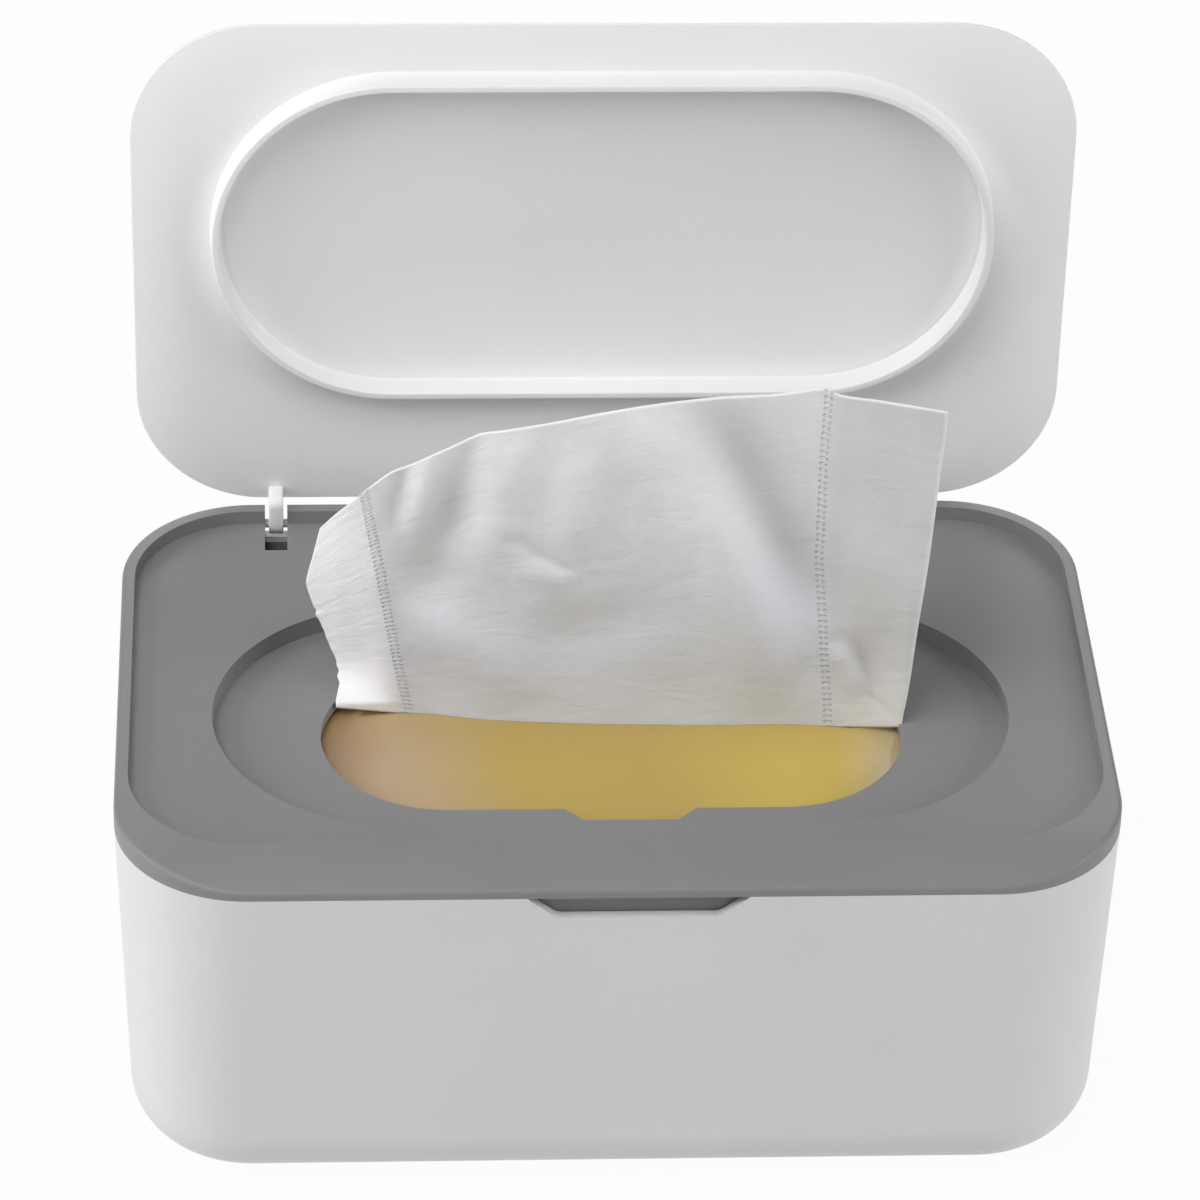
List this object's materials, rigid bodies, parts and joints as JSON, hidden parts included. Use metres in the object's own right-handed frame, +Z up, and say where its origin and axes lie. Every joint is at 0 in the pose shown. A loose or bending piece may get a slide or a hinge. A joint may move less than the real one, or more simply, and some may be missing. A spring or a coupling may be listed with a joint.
{
  "type": "wipes dispenser case",
  "caption": "Rounded table-top dispenser case for wipes, with a hinged lid, an oval dispensing slot and a refill pack inside.",
  "frame": {"origin": "on the floor, under the middle of the box", "axes": "+Z up, +Y from the front to the hinge, +X to the right seen from the front"},
  "size_m": [0.19, 0.1316, 0.1846],
  "materials": {
    "white_shell": "fine satin",
    "white_lid": "fine satin",
    "grey_cover": "fine matt",
    "seal": "soft matt",
    "foot_rubber": "soft matt",
    "pack_film": "printed film, smooth",
    "wipe_cloth": "damp nonwoven"
  },
  "bodies": {
    "base": {"base_box": "white_shell", "foot_front_left": "foot_rubber", "foot_front_right": "foot_rubber", "foot_rear_left": "foot_rubber", "foot_rear_right": "foot_rubber", "refill_wrapper": "pack_film", "wipe_stack": "wipe_cloth"},
    "cover": {"middle_cover": "grey_cover", "pulled_wipe": "wipe_cloth"},
    "lid": {"lid": "white_lid", "seal_ring": "seal"}
  },
  "joints": [
    {"name": "cover_lift", "type": "slide", "parent": "base", "child": "cover", "axis": [0, 0, 1], "range_m": [0, 0.03]},
    {"name": "lid_hinge", "type": "hinge", "parent": "cover", "child": "lid", "pos_m": [0, 0.0615, 0.0721], "axis": [1, 0, 0], "range_deg": [0, 90], "deforming": ["pulled_wipe"]}
  ]
}
